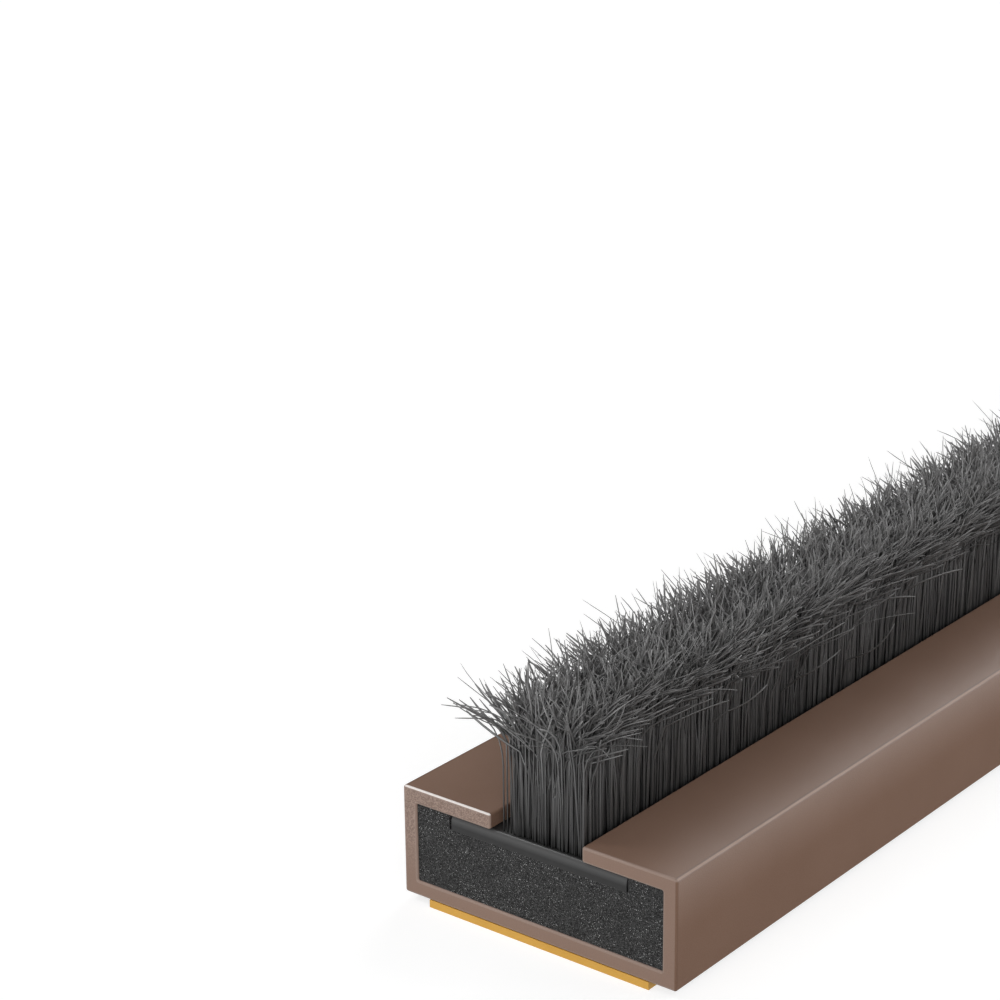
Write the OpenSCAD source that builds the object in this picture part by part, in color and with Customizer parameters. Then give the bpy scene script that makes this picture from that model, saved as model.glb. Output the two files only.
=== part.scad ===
// Brush seal strip: a slotted casing around an expanding core, with a pile strip
// held under the lips and an adhesive tape below. Millimetres. +Z is up, the strip
// runs along Y, and the origin is on the tape's underside, at mid length and width.

/* [Strip] */
// Length that the strip is cut to
strip_len = 1050; // [300:50:2100]

/* [Casing] */
// Width over the casing's side walls
casing_w = 10; // [9:0.5:20]
// Height of the casing, without the tape
casing_h = 3.55; // [2.8:0.05:6]
// Thickness of the walls, the floor and the lips
wall_t = 0.5; // [0.35:0.05:0.8]
// Width of the slot between the two lips
slot_w = 3.35; // [3.2:0.05:4.5]
// Rounding of the casing's outer corners and lip edges
edge_r = 0.08; // [0.04:0.01:0.16]
// Rounding of the cavity's corners
cavity_r = 0.04; // [0.02:0.01:0.2]

/* [Pile strip] */
// Width of the backing that the lips hold down
backing_w = 6.4; // [5.5:0.1:7.5]
// Thickness of the backing
backing_t = 0.47; // [0.3:0.01:0.8]
// Gap between the backing's edge and the side of its recess in the core
backing_gap = 0.07; // [0.02:0.01:0.2]

/* [Brush] */
// Width of the pile where it leaves the backing
pile_w = 2.6; // [1.6:0.05:2.8]
// How far the pile stands to one side of the slot's middle
pile_shift = 0.3; // [0:0.05:0.3]
// Height of the pile's tips above the casing
pile_rise = 4.2; // [3:0.1:12]
// How far the tips splay out past the pile on every side
splay_r = 0.8; // [0.3:0.05:1]
// Rounding of the pile's crown
crown_r = 1.2; // [0.6:0.05:1.6]

/* [Tape] */
// Width of the adhesive tape
tape_w = 8.1; // [5:0.1:8.6]
// Thickness of the adhesive tape
tape_t = 0.25; // [0.1:0.01:0.5]

/* [Hidden] */
$fn = 48;

casing_z = tape_t;
casing_top = casing_z + casing_h;
cavity_w = casing_w - 2 * wall_t;
cavity_z = casing_z + wall_t;
cavity_top = casing_top - wall_t;
backing_z = cavity_top - backing_t;
recess_w = backing_w + 2 * backing_gap;
pile_top = casing_top + pile_rise;

// A rectangle that stands on y = 0 with its four corners rounded
module rounded_rect(w, h, r) {
    translate([-w / 2, r]) square([w, h - 2 * r]);
    translate([r - w / 2, 0]) square([w - 2 * r, h]);
    for (side = [-1, 1], y = [r, h - r])
        translate([side * (w / 2 - r), y]) circle(r);
}

// A 2D section, x across and y up, drawn out along the strip
module along_strip(length) {
    rotate([90, 0, 0]) linear_extrude(length, center = true) children();
}

// The lip's edge at the slot, rounded above and below
module lip_edge(side) {
    translate([side * slot_w / 2, 0]) {
        translate([side < 0 ? -2 * edge_r : 0, cavity_top + edge_r])
            square([2 * edge_r, wall_t - 2 * edge_r]);
        for (y = [cavity_top + edge_r, casing_top - edge_r])
            translate([side * edge_r, y]) circle(edge_r);
    }
}

module casing_section() {
    difference() {
        translate([0, casing_z]) rounded_rect(casing_w, casing_h, edge_r);
        translate([0, cavity_z]) rounded_rect(cavity_w, cavity_top - cavity_z, cavity_r);
        translate([-slot_w / 2 - edge_r, cavity_top - cavity_r])
            square([slot_w + 2 * edge_r, 2 * wall_t]);
    }
    for (side = [-1, 1]) lip_edge(side);
}

module casing() {
    color([0.47, 0.38, 0.33]) along_strip(strip_len) casing_section();
}

// The expanding core fills the cavity, apart from the recess for the backing
module core() {
    color([0.24, 0.24, 0.24]) along_strip(strip_len)
        difference() {
            translate([0, cavity_z]) rounded_rect(cavity_w, cavity_top - cavity_z, cavity_r);
            translate([-recess_w / 2, backing_z]) square([recess_w, 2 * backing_t]);
        }
}

// The backing lies in the core's recess, with its edges under the lips
module pile_backing() {
    color([0.3, 0.3, 0.3]) along_strip(strip_len)
        translate([-backing_w / 2, backing_z]) square([backing_w, backing_t]);
}

// One view of the pile: a straight neck that splays out below a rounded crown
module splayed_profile(neck) {
    shoulder_z = pile_top - crown_r;
    half_w = neck / 2 + splay_r;
    translate([-neck / 2, cavity_top]) square([neck, pile_top - crown_r - cavity_top]);
    translate([crown_r - half_w, shoulder_z]) square([2 * (half_w - crown_r), crown_r]);
    difference() {
        translate([-half_w, shoulder_z - splay_r]) square([2 * half_w, splay_r]);
        for (side = [-1, 1])
            translate([side * half_w, shoulder_z - splay_r]) circle(splay_r);
    }
    intersection() {
        translate([-half_w, shoulder_z]) square([2 * half_w, crown_r]);
        for (side = [-1, 1])
            translate([side * (half_w - crown_r), shoulder_z]) circle(crown_r);
    }
}

// The pile splays at its two sides and at its two ends
module brush_pile() {
    color([0.28, 0.28, 0.28]) translate([pile_shift, 0, 0])
        intersection() {
            along_strip(strip_len + 4 * splay_r) splayed_profile(pile_w);
            rotate([90, 0, 90]) linear_extrude(casing_w, center = true)
                splayed_profile(strip_len);
        }
}

module adhesive_tape() {
    color([0.84, 0.65, 0.33]) along_strip(strip_len)
        translate([-tape_w / 2, 0]) square([tape_w, tape_t]);
}

casing();
core();
pile_backing();
brush_pile();
adhesive_tape();
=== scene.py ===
"""The looks of the brush seal strip, in metres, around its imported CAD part.

The casing and the tape are the CAD meshes with new materials. The core, the backing and
the filaments of the pile have meshes of their own here.
"""

import math

import bpy
import numpy as np
from mathutils import Matrix, Vector


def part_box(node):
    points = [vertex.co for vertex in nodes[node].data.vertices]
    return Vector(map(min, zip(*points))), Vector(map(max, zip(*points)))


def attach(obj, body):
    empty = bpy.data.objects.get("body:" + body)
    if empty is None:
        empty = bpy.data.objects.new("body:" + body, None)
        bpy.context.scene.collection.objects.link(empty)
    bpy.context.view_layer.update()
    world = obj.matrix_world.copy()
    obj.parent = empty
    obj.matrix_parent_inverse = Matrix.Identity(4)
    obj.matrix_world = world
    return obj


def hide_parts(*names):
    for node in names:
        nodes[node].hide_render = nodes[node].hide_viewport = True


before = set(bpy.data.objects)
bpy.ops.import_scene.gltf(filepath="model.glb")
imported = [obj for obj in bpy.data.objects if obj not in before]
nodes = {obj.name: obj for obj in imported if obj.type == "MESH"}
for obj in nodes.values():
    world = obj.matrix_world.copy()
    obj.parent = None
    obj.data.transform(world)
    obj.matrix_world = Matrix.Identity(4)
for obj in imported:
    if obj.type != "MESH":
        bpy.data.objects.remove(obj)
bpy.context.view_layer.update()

MM = 0.001
casing_lo, casing_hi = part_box("casing")
core_lo, core_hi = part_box("core")
backing_lo, backing_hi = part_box("pile_backing")
brush_lo, brush_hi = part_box("brush_pile")

# The strip's ends and the pile, in millimetres, from the CAD solids
SPLAY = 0.8
PILE_MID_X = (brush_lo.x + brush_hi.x) / 2 / MM
PILE_HALF_W = (brush_hi.x - brush_lo.x) / 2 / MM - SPLAY
FRONT_Y = casing_lo.y / MM
BACK_Y = casing_hi.y / MM
ROOT_Z = backing_hi.z / MM
PILE_LENGTH = brush_hi.z / MM - ROOT_Z

# How far inside the casing's ends the other pieces are cut, and how much the sharp
# edges of the casing's ends are rounded, in millimetres
CORE_INSET = 0.07
BACKING_INSET = 0.04
PILE_INSET = 0.2
CUT_BEVEL = 0.07

# The photograph's camera: its place in millimetres from the middle of the
# casing's near lower edge, its angles in degrees and its lens in millimetres
CAMERA_FROM_EDGE = (44.0, -56.07, 39.54)
CAMERA_AZIMUTH = 38.84
CAMERA_ELEVATION = 19.94
CAMERA_ROLL = -0.69
CAMERA_LENS = 99.16
CAMERA_SENSOR = 36.0

# Each lamp's name, the way to it, its strength and its width in degrees
LAMPS = (
    ("front", (0.05, -0.98, 0.15), 1.65, 40),
    ("front_right", (0.6, -0.75, 0.3), 1.3, 40),
    ("top_right", (0.6, 0.5, 0.62), 0.8, 40),
    ("back", (-0.2, 0.78, 0.59), 0.68, 25),
    ("low_back", (0.62, 0.78, 0.05), 1.0, 20),
    ("key", (-0.58, -0.455, 0.68), 0.16, 5),
)
WORLD_LIGHT = 0.2

# The floor reflects like a mid grey, and glows by this much more where a camera sees it
FLOOR_HALF_W = 6.0
FLOOR_GREY = 0.4
FLOOR_LIFT = 0.74

SEED = 11
SHADE = "strand_shade"

# Strands in each millimetre of the strip, and the share gathered along the pile's sides
DENSE = 235
SPARSE = 70
WALLS = 0.2
# How many times as thick as real ones the sparse strands are
COARSE = 1.5

# Shares of a strand's length at which its mesh has a ring
NEAR_STATIONS = (0, 0.35, 0.6, 0.7, 0.79, 0.87, 0.94, 1)
FAR_STATIONS = (0, 0.62, 0.84, 1)
STRAY_STATIONS = (0, 0.3, 0.4, 0.47, 0.54, 0.61, 0.68, 0.75, 0.82, 0.88, 0.94, 1)

# Stray strands: root from the pile's middle and from its near end, length before
# the bend, length of the bend (all in millimetres), angle from upright at the end of
# the bend, whole length, and the way it leans (degrees from +X towards +Y)
STRAYS = (
    (-1.62, 0.22, 1.9, 3.0, 100, 5.3, 180),
    (-1.5, 0.24, 2.6, 1.5, 104, 5.1, 180),
    (-1.38, 0.26, 2.8, 1.4, 98, 4.9, 176),
    (-1.56, 0.5, 2.4, 2.1, 96, 5.2, 186),
    (1.3, 0.2, 3.0, 1.5, 125, 4.5, -6),
    (1.26, 0.9, 2.7, 1.6, 84, 4.8, 8),
    (1.28, 0.22, 2.3, 2.2, 72, 5.0, 28),
    (1.3, 0.5, 2.4, 2.2, 76, 4.9, 34),
    (1.3, 1.0, 2.5, 2.2, 70, 5.0, 22),
)


def srgb(r, g, b):
    """An sRGB colour of 0 to 255 as the linear RGBA that a shader takes."""
    def linear(v):
        v /= 255
        return v / 12.92 if v <= 0.04045 else ((v + 0.055) / 1.055) ** 2.4
    return (linear(r), linear(g), linear(b), 1.0)


def grey(v):
    return srgb(v, v, v)


class Shader:
    """A material with short calls for its nodes."""

    def __init__(self, name, roughness, specular):
        self.material = bpy.data.materials.new(name)
        self.material.use_nodes = True
        self.tree = self.material.node_tree
        self.bsdf = self.tree.nodes["Principled BSDF"]
        self.bsdf.inputs["Roughness"].default_value = roughness
        self.bsdf.inputs["Specular IOR Level"].default_value = specular
        coordinates = self.node("ShaderNodeTexCoord")
        self.place = coordinates.outputs["Object"]
        self.facing = coordinates.outputs["Normal"]

    def node(self, kind, **settings):
        made = self.tree.nodes.new(kind)
        for key, value in settings.items():
            setattr(made, key, value)
        return made

    def put(self, socket, value):
        if isinstance(value, bpy.types.NodeSocket):
            self.tree.links.new(value, socket)
        else:
            socket.default_value = value

    def math(self, operation, a, b=0.0, clamp=False):
        made = self.node("ShaderNodeMath", operation=operation, use_clamp=clamp)
        self.put(made.inputs[0], a)
        self.put(made.inputs[1], b)
        return made.outputs[0]

    def times(self, product, *factors):
        for factor in factors:
            product = self.math("MULTIPLY", product, factor)
        return product

    def part(self, vector, name):
        """One component of a vector."""
        made = self.node("ShaderNodeSeparateXYZ")
        self.put(made.inputs[0], vector)
        return made.outputs[name]

    def axis(self, name):
        """One of the object's coordinates, in metres."""
        return self.part(self.place, name)

    def scaled(self, x, y, z):
        """The object's coordinates times a scale on each axis."""
        made = self.node("ShaderNodeMapping")
        self.put(made.inputs["Vector"], self.place)
        made.inputs["Scale"].default_value = (x, y, z)
        return made.outputs["Vector"]

    def noise(self, size, detail, roughness, vector=None):
        """Noise from 0 to 1 with grains of that size, in millimetres or in the vector's units."""
        made = self.node("ShaderNodeTexNoise")
        self.put(made.inputs["Vector"], vector or self.place)
        made.inputs["Scale"].default_value = 1 / (size * MM) if vector is None else 1 / size
        made.inputs["Detail"].default_value = detail
        made.inputs["Roughness"].default_value = roughness
        return made.outputs["Fac"]

    def ramp(self, factor, *stops):
        """A value or colour that follows the factor; each stop is (place, value or RGBA)."""
        made = self.node("ShaderNodeValToRGB")
        ramp = made.color_ramp
        while len(ramp.elements) < len(stops):
            ramp.elements.new(0.5)
        for element, (place, value) in zip(ramp.elements, stops):
            element.position = place
            element.color = value if isinstance(value, tuple) else (value, value, value, 1)
        self.put(made.inputs["Fac"], factor)
        return made.outputs["Color"]

    def mix(self, factor, a, b):
        made = self.node("ShaderNodeMix", data_type="RGBA")
        self.put(made.inputs[0], factor)
        self.put(made.inputs[6], a)
        self.put(made.inputs[7], b)
        return made.outputs[2]

    def span(self, value, low, high):
        """0 where the value is at low, 1 where it is at high, and straight between; in metres."""
        made = self.node("ShaderNodeMapRange")
        self.put(made.inputs["Value"], value)
        made.inputs["From Min"].default_value = low
        made.inputs["From Max"].default_value = high
        return made.outputs["Result"]

    def near_end(self, reach):
        """1 at the strip's two end faces, and 0 from that many millimetres inside."""
        inside = self.math("SUBTRACT", BACK_Y * MM, self.math("ABSOLUTE", self.axis("Y")))
        return self.span(inside, reach * MM, 0.0)

    def bump(self, height, depth, strength=1.0, under=None):
        """The normal of a relief that is that many millimetres deep, over another's."""
        made = self.node("ShaderNodeBump")
        self.put(made.inputs["Strength"], strength)
        made.inputs["Distance"].default_value = depth * MM
        self.put(made.inputs["Height"], height)
        if under:
            self.put(made.inputs["Normal"], under)
        return made.outputs["Normal"]

    def finish(self, colour, normal=None):
        self.put(self.bsdf.inputs["Base Color"], colour)
        if normal:
            self.put(self.bsdf.inputs["Normal"], normal)
        return self.material


def casing_areas(s):
    """Masks from 0 to 1 for the parts of the casing's surface that look different, painted
    highlights and shade among them.
    """
    x, high = s.axis("X"), s.axis("Z")
    across = s.math("ABSOLUTE", x)

    def from_side(value, none, full):
        """0 at none millimetres inside the casing's outer side, and 1 at full."""
        return s.span(value, casing_hi.x - none * MM, casing_hi.x - full * MM)

    def from_top(none, full):
        """0 at none millimetres below the casing's top, and 1 at full."""
        return s.span(high, casing_hi.z - none * MM, casing_hi.z - full * MM)

    # The end faces, their rounded edges, and what lies away from them
    face = s.near_end(0.004)
    edge = s.times(s.near_end(CUT_BEVEL + 0.005), s.math("SUBTRACT", 1.0, face), 20.0)
    edge = s.math("MINIMUM", edge, 1.0)
    away = s.math("SUBTRACT", 1.0, s.near_end(0.1), clamp=True)
    # The right wall's upright edge at the ends, which gets painted shade instead of the cut
    # edges' painted highlight
    upright_edge_shade = s.times(from_side(x, 0.09, 0.06), from_top(0.05, 0.1), edge)
    # The left of the end face, which gets grain and a painted sheen, and the left lip's top edge
    # above it, which gets a painted highlight
    left = s.times(s.span(x, -0.8 * MM, -2.0 * MM),
                   s.span(high, casing_lo.z + 0.6 * MM, casing_lo.z + 2.2 * MM), face)
    left_lip_highlight = s.times(s.span(x, -0.8 * MM, -1.2 * MM), from_top(0.045, 0.03))
    # A painted highlight line along the rounded upper long edges, with painted shade beside it
    long_edge_highlight = s.times(from_side(across, 0.06, 0.04), from_top(0.06, 0.04), away)
    long_edge_shade = s.times(from_side(across, 0.13, 0.09), from_top(0.1, 0.05), away)
    # The lips and the side walls fall away a little towards their common edge, and handling
    # has polished the right ones there
    bow_from = casing_lo.z + 0.45 * (casing_hi.z - casing_lo.z)
    rise = s.math("POWER", s.span(high, bow_from, casing_hi.z), 2.0)
    out = s.math("POWER", s.span(across, 1.4 * MM, casing_hi.x), 1.35)
    worn = s.times(s.span(x, 1.0 * MM, 3.0 * MM), rise, away)
    return {"face": face, "edge": s.math("SUBTRACT", edge, upright_edge_shade), "upright_edge_shade": upright_edge_shade,
            "left": left, "left_lip_highlight": left_lip_highlight, "long_edge_highlight": long_edge_highlight, "long_edge_shade": long_edge_shade,
            "bow": s.times(rise, out), "worn": worn}


def casing_relief(s, grain, bow):
    """The casing's normal: bowed lips and side walls, faint draw lines and a fine grain."""
    lengthwise = s.math("ABSOLUTE", s.part(s.facing, "Y"))
    level = s.math("SUBTRACT", 1.0, lengthwise, clamp=True)
    bowed = s.bump(s.times(bow, -1.0), 0.2, s.ramp(level, (0.5, 0.0), (0.95, 1.0)))
    draw = s.noise(1.0, 2.0, 0.5, s.scaled(14000, 60, 14000))
    return s.bump(grain, 0.012, 0.5, s.bump(draw, 0.004, 0.35, bowed))


def casing_material():
    """Brown PVC: satin, polished by handling on the right; sawn ends with painted highlights,
    shade and sheen.
    """
    satin, plain_gloss = 0.38, 0.02
    s = Shader("casing_pvc", satin, plain_gloss)
    area = casing_areas(s)
    grain = s.noise(0.04, 2.0, 0.6)
    speck = s.ramp(grain, (0.35, 0.0), (0.65, 1.0))
    cloud = s.ramp(s.noise(2.4, 3.0, 0.5), (0.3, 0.0), (0.7, 1.0))
    tone = s.mix(cloud, srgb(117, 91, 76), srgb(121, 95, 80))
    tone = s.mix(s.times(speck, 0.3), tone, srgb(136, 112, 98))
    # Grain and a painted sheen, paler and greyer on average, on the left of the end faces
    sawn_grain_and_sheen = s.ramp(s.noise(0.045, 2.0, 0.6), (0.42, 0.0), (0.6, 1.0))
    tone = s.mix(area["left"], tone, s.mix(sawn_grain_and_sheen, srgb(109, 86, 73), srgb(142, 120, 108)))
    # Painted highlights: all the cut edges are a little paler, and the left lip's top edge at the
    # ends is near white
    cut_edge_highlight = s.times(area["edge"], s.math("ADD", s.times(area["left_lip_highlight"], 0.75), 0.09))
    tone = s.mix(cut_edge_highlight, tone, srgb(240, 234, 230))
    # Painted shade beside the long upper edges, and a painted highlight line on them
    tone = s.mix(s.times(area["long_edge_shade"], 0.6), tone, srgb(92, 70, 58))
    tone = s.mix(area["long_edge_highlight"], tone, srgb(142, 118, 104))
    # Painted shade on the right wall's upright edge at the ends
    tone = s.mix(s.times(area["upright_edge_shade"], 0.35), tone, srgb(98, 76, 64))
    gloss = plain_gloss
    for part, share in ((area["worn"], 0.42), (area["edge"], 0.25), (area["face"], 0.6),
                        (s.times(area["left"], speck), 0.2)):
        gloss = s.math("ADD", gloss, s.times(part, share))
    s.put(s.bsdf.inputs["Specular IOR Level"], gloss)
    s.put(s.bsdf.inputs["Roughness"], s.math("ADD", s.times(grain, 0.16), satin - 0.08))
    return s.finish(tone, casing_relief(s, grain, area["bow"]))


def core_material():
    """Graphite compound: near black and granular, with many short pale flakes."""
    s = Shader("core_graphite", 0.6, 0.1)
    fine = s.noise(0.042, 2.0, 0.65)
    coarse = s.ramp(s.noise(0.5, 3.0, 0.6), (0.35, 0.0), (0.7, 1.0))
    tone = s.mix(s.ramp(fine, (0.36, 0.0), (0.64, 1.0)), grey(12), grey(66))
    tone = s.mix(s.times(coarse, 0.25), tone, grey(24))
    crowd = s.ramp(s.noise(0.8, 2.0, 0.6), (0.35, 0.35), (0.6, 1.0))
    relief = fine
    # A flake is a short stretch of a noise's middle line; each kind has its size, its
    # width, how rare it is and its shade
    for size, width, rarity, shade in ((0.036, 0.05, 0.63, 150), (0.055, 0.055, 0.62, 255)):
        off_line = s.math("ABSOLUTE", s.math("SUBTRACT", s.noise(size, 1.0, 0.5), 0.5))
        thin = s.ramp(off_line, (0.0, 1.0), (width, 0.0))
        stretch = s.noise(size * 0.62, 1.0, 0.5)
        stretch = s.ramp(stretch, (rarity, 0.0), (rarity + 0.06, 1.0))
        flakes = s.times(thin, stretch, crowd)
        tone = s.mix(flakes, tone, grey(shade))
        relief = s.math("ADD", relief, s.times(flakes, 0.4))
    return s.finish(tone, s.bump(relief, 0.03, 0.6))


def backing_material():
    """Woven and coated backing: dark grey with a faint weave, and a painted highlight along its
    cut end's top.
    """
    s = Shader("backing_polypropylene", 0.34, 0.25)
    fine = s.noise(0.06, 2.0, 0.5)
    weave = s.noise(1.0, 2.0, 0.5, s.scaled(5000, 1200, 5000))
    tone = s.mix(weave, grey(34), grey(42))
    height = s.span(s.axis("Z"), backing_lo.z, backing_hi.z)
    # Painted highlight: the upper part of each cut end is paler
    end_top_highlight = s.times(s.ramp(height, (0.35, 0.0), (0.75, 1.0)), s.near_end(0.18))
    tone = s.mix(end_top_highlight, tone, grey(82))
    return s.finish(tone, s.bump(s.math("ADD", fine, weave), 0.004, 0.4))


def tape_material():
    """Amber adhesive: even colour, slightly glossy, with small cloudy changes."""
    s = Shader("tape_adhesive", 0.35, 0.2)
    cloud = s.noise(0.8, 3.0, 0.5)
    tone = s.mix(cloud, srgb(197, 149, 65), srgb(209, 162, 79))
    return s.finish(tone, s.bump(s.noise(0.12, 2.0, 0.5), 0.006, 0.4))


def filament_material():
    """Grey polypropylene filament: each strand has its own tone, and painted shade darkens it
    towards its root.
    """
    s = Shader("pile_filament", 0.3, 0.35)
    shade = s.node("ShaderNodeAttribute", attribute_name=SHADE).outputs["Fac"]
    tone = s.ramp(shade, (0.0, srgb(78, 77, 76)), (0.5, srgb(119, 118, 118)), (1.0, grey(166)))
    streak = s.noise(1.0, 1.0, 0.5, s.scaled(9000, 9000, 700))
    tone = s.mix(s.times(streak, 0.3), tone, srgb(60, 59, 58))
    height = s.span(s.axis("Z"), ROOT_Z * MM, (ROOT_Z + PILE_LENGTH) * MM)
    # Painted shade: strands darken from their tips down towards their roots
    depth_shade = s.ramp(height, (0.0, 1.0), (0.12, 0.84), (0.35, 0.64), (0.65, 0.42), (0.95, 0.0))
    tone = s.mix(depth_shade, tone, grey(24))
    # Painted shade: near black at the feet
    foot = s.ramp(height, (0.0, 1.0), (0.03, 0.75), (0.09, 0.0))
    return s.finish(s.mix(foot, tone, grey(3)))


def add_object(name, data):
    """An object with that data, in the scene."""
    made = bpy.data.objects.new(name, data)
    bpy.context.scene.collection.objects.link(made)
    return made


def add_shades(mesh, shades):
    """Gives each vertex the shade, from 0 to 1, that the filament's material reads."""
    attribute = mesh.attributes.new(SHADE, "FLOAT", "POINT")
    attribute.data.foreach_set("value", shades.astype(np.float32))


def prism_faces(k):
    """The faces of a prism whose two ends have k corners each, numbered end by end."""
    ends = [tuple(range(k)), tuple(range(2 * k - 1, k - 1, -1))]
    return ends + [(i, i + k, (i + 1) % k + k, (i + 1) % k) for i in range(k)]


def smooth(t):
    t = np.clip(t, 0, 1)
    return t * t * (3 - 2 * t)


class Field:
    """Smooth random vectors over the pile's floor plan, much the same for neighbours."""

    def __init__(self, rng, cell, y0, y1):
        self.half_w = 4
        self.cell, self.y0 = cell, y0
        columns, rows = int(2 * self.half_w / cell) + 3, int((y1 - y0) / cell) + 4
        self.grid = rng.normal(0, 1, (columns, rows, 2))

    def at(self, x, y):
        gx = (x + self.half_w) / self.cell
        gy = (y - self.y0) / self.cell + 1
        ix, iy = gx.astype(int), gy.astype(int)
        fx, fy = smooth(gx - ix)[:, None], smooth(gy - iy)[:, None]
        g = self.grid
        near = g[ix, iy] * (1 - fx) + g[ix + 1, iy] * fx
        far = g[ix, iy + 1] * (1 - fx) + g[ix + 1, iy + 1] * fx
        return near * (1 - fy) + far * fy


def strand_points(plan, stations):
    """Centre points and tangent angles of planar strands that stand upright and then lean over.

    plan holds one array for each property, in millimetres and radians; stations are
    shares of a strand's length. Returns points (n, k, 3) and angles from upright (n, k).
    """
    column = {key: values[:, None] for key, values in plan.items()}
    steps = 48
    run = (np.arange(steps) + 0.5) / steps * column["length"]
    bend = smooth((run - column["bend_from"]) / column["bend_over"])
    past = np.maximum(0, run - column["bend_from"] - column["bend_over"])
    angle = column["tilt"] * (1 - bend) + column["lean"] * bend + column["droop"] * past

    at = np.linspace(0, 1, steps + 1)
    k = np.searchsorted(at, stations, side="right").clip(1, steps) - 1
    w = (np.array(stations) - at[k]) * steps

    def gone(slope):
        """How far a strand has gone at each station, from its slope at each step."""
        way = np.cumsum(slope * column["length"] / steps, 1)
        way = np.concatenate([np.zeros((len(way), 1)), way], 1)
        return way[:, k] * (1 - w) + way[:, k + 1] * w

    out, up = gone(np.sin(angle)), gone(np.cos(angle))
    cos_a, sin_a = np.cos(column["azimuth"]), np.sin(column["azimuth"])
    s = np.array(stations)
    sway = column["sway"] * np.sin(column["phase"] + 8 * s) * smooth((s - 0.4) / 0.4)
    gather = smooth(1 - s / 0.45)
    x = column["x"] + out * cos_a - sway * sin_a + column["gather_x"] * gather
    y = column["y"] + out * sin_a + sway * cos_a + column["gather_y"] * gather
    return np.stack([x, y, ROOT_Z + up], 2), angle[:, k]


def strand_faces(n, k, sides):
    """Corners of the walls of n strands with k rings each, and of the caps at their tips."""
    index = np.arange(n * k * sides).reshape(n, k, sides)
    low, high = index[:, :-1], index[:, 1:]
    quads = np.stack([low, np.roll(low, -1, 2), np.roll(high, -1, 2), high], 3)
    if sides == 2:  # a ribbon has one wall and no cap
        return quads[:, :, :1].reshape(-1, 4), index[:0, -1]
    return quads.reshape(-1, 4), index[:, -1]


def smooth_mesh(name, verts, quads, triangles):
    """A smooth mesh from arrays of places and of the faces' corners."""
    loops = np.concatenate([quads.ravel(), triangles.ravel()]).astype(np.int32)
    sizes = np.concatenate([np.full(len(quads), 4), np.full(len(triangles), 3)]).astype(int)
    starts = np.concatenate([[0], np.cumsum(sizes)[:-1]]).astype(np.int32)
    mesh = bpy.data.meshes.new(name)
    mesh.vertices.add(len(verts))
    mesh.vertices.foreach_set("co", verts.astype(np.float32).ravel())
    mesh.loops.add(len(loops))
    mesh.loops.foreach_set("vertex_index", loops)
    mesh.polygons.add(len(sizes))
    mesh.polygons.foreach_set("loop_start", starts)
    mesh.polygons.foreach_set("use_smooth", np.ones(len(sizes), bool))
    mesh.update(calc_edges=True)
    mesh.validate()
    return mesh


def strand_mesh(name, plan, stations, material, sides=3):
    """One mesh of all the strands in the plan, which are narrower at their tips.

    Each is a tube of three sides or, with sides=2, a flat ribbon.
    """
    points, angle = strand_points(plan, stations)
    n, k = points.shape[:2]
    azimuth = plan["azimuth"][:, None] + 0 * angle
    across = np.stack([-np.sin(azimuth), np.cos(azimuth), 0 * angle], 2)
    over = np.stack([np.cos(angle) * np.cos(azimuth), np.cos(angle) * np.sin(azimuth),
                     -np.sin(angle)], 2)
    width = plan["radius"][:, None] * (1 - plan["taper"][:, None] * np.array(stations) ** 1.3)
    width[:, -1] *= 0.5
    turn = 2 * np.pi * np.arange(sides) / sides + (np.pi / 2 if sides == 2 else 0)
    ring = (np.cos(turn)[:, None] * over[:, :, None]
            + np.sin(turn)[:, None] * across[:, :, None])
    verts = (points[:, :, None] + ring * width[:, :, None, None]) * MM
    mesh = smooth_mesh(name, verts.reshape(-1, 3), *strand_faces(n, k, sides))
    add_shades(mesh, np.repeat(plan["shade"], k * sides))
    mesh.materials.append(material)
    piece = add_object(name, mesh)
    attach(piece, "root")
    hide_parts("brush_pile")


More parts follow.
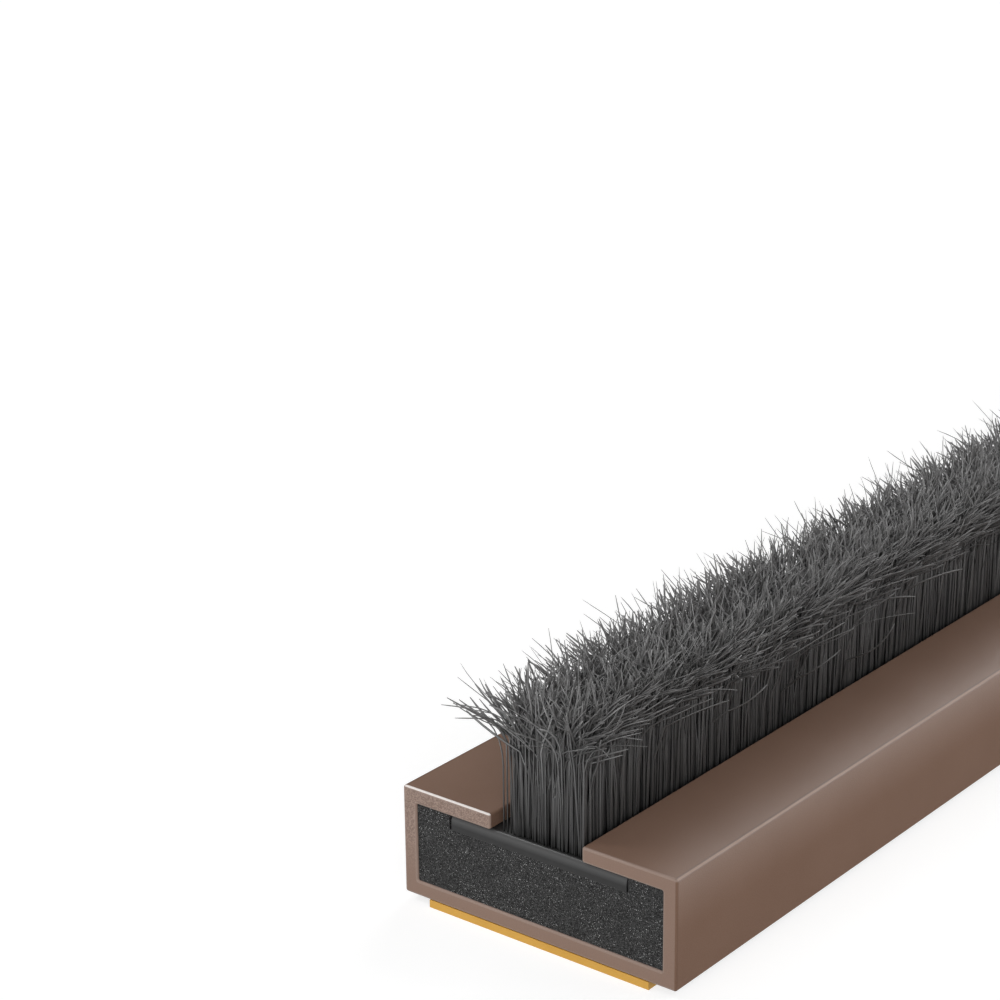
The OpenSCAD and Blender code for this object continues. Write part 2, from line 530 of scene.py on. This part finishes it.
def pile_plan(rng, field, y0, y1, per_mm, thick, walls):
    """Strands over the pile's floor plan from y0 to y1, in millimetres.

    per_mm strands stand on each millimetre of the strip, thick times as thick as real
    ones, and the share in walls is gathered along the pile's two sides.
    """
    # Where each strand stands: u runs from -1 to 1 across the pile
    n = int((y1 - y0) * per_mm)
    u = rng.uniform(-1, 1, n)
    u = np.where(rng.random(n) < walls, np.sign(u) * rng.uniform(0.86, 1, n), u)
    y = rng.uniform(y0, y1, n)
    radius = 0.04
    x = PILE_MID_X + u * (PILE_HALF_W - radius * thick)

    # Strands lean out at the sides and at the far end, with their neighbours and on their own
    stir = 0.3 * field.at(x, y) + 0.7 * rng.normal(0, 1, (n, 2))
    end_reach = 0.5
    front = np.exp(-(y - FRONT_Y) / end_reach)
    back = np.exp(-(BACK_Y - y) / end_reach)
    side = np.sign(u) * np.abs(u) ** 1.7
    loose = 1 - 0.5 * front
    lean_x = np.where(side > 0, 0.6, 0.45) * side + stir[:, 0]
    combed = 0.35 * smooth((y - FRONT_Y - 1) / 12)
    lean_y = combed + 0.4 * back - 0.2 * front + stir[:, 1] * loose
    lean = np.minimum(np.hypot(lean_x, lean_y), 1.1)
    length = PILE_LENGTH * (rng.uniform(0.9, 1.08, n) + rng.uniform(0, 0.08, n) * side * side)
    bend_from = rng.normal(2.6, 0.45, n) + 0.3 * np.maximum(u * u, back) - 0.4 * front

    # Some are thin and stand out of the crown, and some end early in the walls
    fine = thick < COARSE
    wisp = (rng.random(n) < 0.28) & fine
    length += wisp * rng.uniform(0.1, 0.8, n)
    early = (rng.random(n) < 0.14) & (np.abs(u) > 0.8) & ~wisp
    length *= np.where(early, rng.uniform(0.72, 0.88, n), 1)
    bend_from -= early * rng.uniform(0.5, 1.2, n)
    lean *= np.where(early, 0.45, 1)

    # Their feet are gathered a little towards the middle of each clump
    clump = 0.34
    gather = 0.12 if fine else 0.0
    clump_x = (np.floor(x / clump) + 0.5) * clump
    clump_y = (np.floor(y / clump) + 0.5) * clump
    # Strands along the pile's sides get a darker mean tone: painted shade on the pile's walls,
    # and a paler crown
    mean_with_wall_shade, spread = 0.62 - 0.25 * side * side, 0.2 - 0.14 * side * side
    return {
        "x": x, "y": y, "azimuth": np.arctan2(lean_y, lean_x), "lean": lean,
        "tilt": 0.03 * rng.normal(0, 1, n), "droop": rng.uniform(-0.25, 0.2, n),
        "length": length, "bend_from": bend_from, "bend_over": rng.uniform(1.1, 2.5, n),
        "sway": 0.1 * rng.normal(0, 1, n), "phase": rng.uniform(0, 6.28, n),
        "gather_x": gather * (clump_x - x), "gather_y": gather * (clump_y - y),
        "radius": thick * rng.uniform(0.034, 0.045, n) * np.where(wisp, 0.5, 1),
        "taper": rng.uniform(0.1, 0.5, n),
        "shade": np.clip(mean_with_wall_shade + spread * rng.normal(0, 1, n), 0, 1),
    }


def stray_plan(rng):
    """The few long strands that bend far out at the near end's corners."""
    x, y, bend_from, bend_over, lean, length, azimuth = np.array(STRAYS).T
    flat = np.zeros(len(x))
    return {
        "x": PILE_MID_X + x, "y": FRONT_Y + y, "bend_from": bend_from,
        "bend_over": bend_over, "lean": np.radians(lean), "length": length,
        "azimuth": np.radians(azimuth), "tilt": flat, "droop": flat, "sway": flat + 0.03,
        "phase": rng.uniform(0, 6.28, len(x)), "gather_x": flat, "gather_y": flat,
        "radius": flat + 0.03, "taper": flat + 0.35, "shade": flat + 0.75,
    }


def joined(plans):
    return {key: np.concatenate([plan[key] for plan in plans]) for key in plans[0]}


def build_pile():
    """The filaments: dense and thin at both ends, fewer, thicker and flat between them."""
    rng = np.random.default_rng(SEED)
    margin = 4
    field = Field(rng, 0.5, FRONT_Y - margin, BACK_Y + margin)
    material = filament_material()
    long = BACK_Y - FRONT_Y

    def zone(start, end, per_mm, thick=1.0, walls=WALLS):
        """Strands of one stretch of the pile, in millimetres from the strip's near end."""
        return pile_plan(rng, field, FRONT_Y + start, FRONT_Y + end, per_mm, thick, walls)

    # The near end, which starts with a row so dense that nothing shows through it
    first_row = zone(PILE_INSET, 0.45, 600, walls=0.0)
    near = joined([first_row, zone(PILE_INSET, 17, DENSE)])
    strand_mesh("pile_near_1", near, NEAR_STATIONS, material)
    strand_mesh("pile_near_2", zone(17, 34, DENSE), NEAR_STATIONS, material)
    strand_mesh("pile_strays", stray_plan(rng), STRAY_STATIONS, material)

    # Fewer and thicker strands, step by step, which are ribbons from 39 mm on
    strand_mesh("pile_fade_1", zone(34, 39, 170, 1.15), NEAR_STATIONS, material)
    fade = joined([zone(39, 48, 150, 1.25, 0.3), zone(48, 60, 100, 1.35, 0.3)])
    strand_mesh("pile_fade_2", fade, NEAR_STATIONS, material, sides=2)
    far_count, end_from = 4, long - 10
    cuts = np.linspace(60, end_from, far_count + 1)
    for i in range(far_count):
        far = zone(cuts[i], cuts[i + 1], SPARSE, COARSE, 0.4)
        strand_mesh(f"pile_far_{i + 1}", far, FAR_STATIONS, material, sides=2)

    # The far end
    dense_from = long - 6
    end = joined([zone(end_from, dense_from, SPARSE, COARSE),
                  zone(dense_from, long - PILE_INSET, 225)])
    strand_mesh("pile_end", end, NEAR_STATIONS, material)
    build_pile_core(material)


def build_pile_core(material):
    """The mass deep in the pile: ribbed like bundles of filaments, with a ragged top."""
    half, crown = PILE_HALF_W - 0.14, PILE_HALF_W - 0.08
    top = ROOT_Z + PILE_LENGTH - 1.1
    # Half of its outline, from its top down to its foot
    right = [(0.35, top), (crown - 0.2, top - 0.2), (crown, top - 0.8), (half, top - 1.6),
             (half, ROOT_Z)]
    outline = np.array([(-x, z) for x, z in reversed(right)] + right)
    front_inset, back_inset, rib = 0.5, 0.3, 0.3
    rows = np.arange(FRONT_Y + front_inset, BACK_Y - back_inset, rib)
    n, k = len(rows), len(outline)
    rng = np.random.default_rng(SEED + 1)
    groove = np.where(np.arange(n) % 2, 1.0, 0.0)[:, None]
    ragged = np.clip((outline[:, 1] - ROOT_Z - 2.2) / 1.5, 0, 1)[None, :]
    x = (outline[None, :, 0] * (1 - 0.1 * groove)
         + rng.normal(0, 1, (n, k)) * (0.02 + 0.1 * ragged))
    z = outline[None, :, 1] + ragged * (rng.normal(0, 0.15, (n, k)) - 0.3 * groove)
    y = (rows[:, None] + rng.normal(0, 0.03, (n, k))
         + 0.1 * ragged * rng.normal(0, 1, (n, k)))
    verts = np.stack([PILE_MID_X + x, y, z], 2).reshape(-1, 3) * MM
    index = np.arange(n * k).reshape(n, k)
    faces = np.stack([index[:-1, :-1], index[:-1, 1:], index[1:, 1:], index[1:, :-1]], 2)
    ends = [tuple(index[0][::-1].tolist()), tuple(index[-1].tolist())]
    mesh = bpy.data.meshes.new("pile_core")
    mesh.from_pydata(verts.tolist(), [], faces.reshape(-1, 4).tolist() + ends)
    # The grooves get a darker tone: painted shade between the ribs
    tone = 0.5 - 0.4 * groove + 0.15 * rng.normal(0, 1, (n, 1))
    add_shades(mesh, np.repeat(np.clip(tone, 0, 1), k))
    mesh.materials.append(material)
    piece = add_object("pile_core", mesh)
    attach(piece, "root")
    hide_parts("brush_pile")


def build_core():
    """The core, whose cut ends lie a little inside the casing's."""
    lo, hi = core_lo / MM, core_hi / MM
    gap = 0.07
    left, right = backing_lo.x / MM - gap, backing_hi.x / MM + gap
    floor = backing_lo.z / MM
    outline = [(lo.x, lo.z), (hi.x, lo.z), (hi.x, hi.z), (right, hi.z), (right, floor),
               (left, floor), (left, hi.z), (lo.x, hi.z)]
    ends = (FRONT_Y + CORE_INSET, BACK_Y - CORE_INSET)
    mesh = bpy.data.meshes.new("core_bar")
    mesh.from_pydata([(x * MM, y * MM, z * MM) for y in ends for x, z in outline],
                     [], prism_faces(len(outline)))
    mesh.materials.append(core_material())
    piece = add_object("core_bar", mesh)
    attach(piece, "root")
    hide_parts("core")


def build_backing():
    """The backing, a little to one side, with cut ends that are rounded over at the top."""
    lo, hi = backing_lo / MM, backing_hi / MM
    aside = 0.03
    # An end's outline is an arc at the foot and a flatter one over the top
    over, flatness, foot = 0.24, 0.55, 0.02
    end = [(foot - foot * math.sin(a), lo.z + foot - foot * math.cos(a))
           for a in np.linspace(0, math.pi / 2, 5)]
    end += [(over * (1 - math.cos(a)) * flatness, hi.z - over + over * math.sin(a))
            for a in np.linspace(0, math.pi / 2, 9)]
    outline = [(FRONT_Y + BACKING_INSET + y, z) for y, z in end]
    outline += [(BACK_Y - BACKING_INSET - y, z) for y, z in reversed(end)]
    faces = prism_faces(len(outline))
    mesh = bpy.data.meshes.new("backing_bar")
    mesh.from_pydata([((x + aside) * MM, y * MM, z * MM) for x in (lo.x, hi.x)
                      for y, z in outline], [], faces)
    mesh.polygons.foreach_set("use_smooth", [True] * len(faces))
    mesh.set_sharp_from_angle(angle=math.radians(50))
    mesh.materials.append(backing_material())
    piece = add_object("backing_bar", mesh)
    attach(piece, "root")
    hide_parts("pile_backing")


def dress(node, material):
    """Gives a CAD node its material."""
    data = nodes[node].data
    data.materials.clear()
    data.materials.append(material)


def round_edges(node, radius):
    """Rounds a CAD node's sharp edges by that many millimetres, with modifiers."""
    piece = nodes[node]
    # The CAD triangles are welded and joined into flats first, so that the bevel finds
    # whole edges
    weld = piece.modifiers.new("weld", "WELD")
    weld.merge_threshold = 1e-6
    flats = piece.modifiers.new("flats", "DECIMATE")
    flats.decimate_type = "DISSOLVE"
    flats.angle_limit = math.radians(1)
    bevel = piece.modifiers.new("edges", "BEVEL")
    bevel.width = radius * MM
    bevel.segments = 3
    bevel.limit_method = "ANGLE"
    bevel.angle_limit = math.radians(40)
    bevel.use_clamp_overlap = False
    normals = piece.modifiers.new("normals", "WEIGHTED_NORMAL")
    normals.weight = 50


def shown(tree):
    """1 for the rays that see a surface as a background, and 0 for those that light others."""
    path = tree.nodes.new("ShaderNodeLightPath")
    total = path.outputs["Is Camera Ray"]
    for ray in ("Is Glossy Ray", "Is Transmission Ray"):
        either = tree.nodes.new("ShaderNodeMath")
        either.operation = "MAXIMUM"
        tree.links.new(total, either.inputs[0])
        tree.links.new(path.outputs[ray], either.inputs[1])
        total = either.outputs[0]
    return total


def build_stage():
    """A large pale floor that shows white where no shadow lies."""
    w = FLOOR_HALF_W
    mesh = bpy.data.meshes.new("floor")
    mesh.from_pydata([(-w, -w, 0), (w, -w, 0), (w, w, 0), (-w, w, 0)], [], [(0, 1, 2, 3)])
    material = bpy.data.materials.new("floor")
    material.use_nodes = True
    tree = material.node_tree
    bsdf = tree.nodes["Principled BSDF"]
    bsdf.inputs["Base Color"].default_value = (FLOOR_GREY, FLOOR_GREY, FLOOR_GREY, 1)
    bsdf.inputs["Roughness"].default_value = 1.0
    bsdf.inputs["Specular IOR Level"].default_value = 0.0
    lift = tree.nodes.new("ShaderNodeMath")
    lift.operation = "MULTIPLY"
    tree.links.new(shown(tree), lift.inputs[0])
    lift.inputs[1].default_value = FLOOR_LIFT
    bsdf.inputs["Emission Color"].default_value = (1, 1, 1, 1)
    tree.links.new(lift.outputs[0], bsdf.inputs["Emission Strength"])
    mesh.materials.append(material)
    floor = add_object("floor", mesh)


def build_world():
    """A little light from all round, and a white background."""
    world = bpy.data.worlds.new("studio")
    bpy.context.scene.world = world
    world.use_nodes = True
    tree = world.node_tree
    background = tree.nodes["Background"]
    strength = tree.nodes.new("ShaderNodeMapRange")
    tree.links.new(shown(tree), strength.inputs["Value"])
    strength.inputs["To Min"].default_value = WORLD_LIGHT
    strength.inputs["To Max"].default_value = 1.0
    tree.links.new(strength.outputs["Result"], background.inputs["Strength"])
    background.inputs["Color"].default_value = (1, 1, 1, 1)


def sun(name, toward, strength, angle):
    """A far lamp that shines from that direction; angle is its width in degrees."""
    data = bpy.data.lights.new(name, "SUN")
    data.energy = strength
    data.angle = math.radians(angle)
    lamp = add_object(name, data)
    lamp.rotation_euler = Vector(toward).to_track_quat("Z", "Y").to_euler()


def spot(name, at, toward, distance, strength, reach, radius):
    """A lamp with a soft round beam, reach wide at the point that it is aimed at; millimetres."""
    data = bpy.data.lights.new(name, "SPOT")
    data.energy = strength * 4 * math.pi * (distance * MM) ** 2
    data.spot_size = 2 * math.atan(reach / distance)
    data.spot_blend = 1.0
    data.shadow_soft_size = radius * MM
    lamp = add_object(name, data)
    way = Vector(toward).normalized()
    lamp.location = (Vector(at) + way * distance) * MM
    lamp.rotation_euler = way.to_track_quat("Z", "Y").to_euler()


def build_camera():
    """The photograph's camera."""
    azimuth = math.radians(CAMERA_AZIMUTH)
    elevation = math.radians(CAMERA_ELEVATION)
    roll = math.radians(CAMERA_ROLL)
    ahead = Vector((-math.sin(azimuth) * math.cos(elevation),
                    math.cos(azimuth) * math.cos(elevation), -math.sin(elevation)))
    right = ahead.cross(Vector((0, 0, 1))).normalized()
    up = right.cross(ahead)
    right, up = (right * math.cos(roll) + up * math.sin(roll),
                 up * math.cos(roll) - right * math.sin(roll))
    data = bpy.data.cameras.new("camera")
    data.lens = CAMERA_LENS
    data.sensor_width = CAMERA_SENSOR
    data.clip_start = 1 * MM
    data.clip_end = 20.0
    camera = add_object("camera", data)
    turn = Matrix((right, up, -ahead)).transposed()
    place = Vector(CAMERA_FROM_EDGE) * MM + Vector((0, casing_lo.y, casing_lo.z))
    camera.matrix_world = Matrix.Translation(place) @ turn.to_4x4()
    bpy.context.scene.camera = camera


build_camera()
dress("casing", casing_material())
dress("adhesive_tape", tape_material())
round_edges("casing", CUT_BEVEL)
build_core()
build_backing()
build_pile()
build_stage()
build_world()
for lamp in LAMPS:
    sun(*lamp)
# A small highlight on the left lip's near end
spot("corner_key", at=(-4.2, FRONT_Y, casing_hi.z / MM), toward=(-0.58, -0.3, 0.76),
     distance=200, strength=1.5, reach=6, radius=6)
bpy.context.scene.view_settings.view_transform = "Standard"
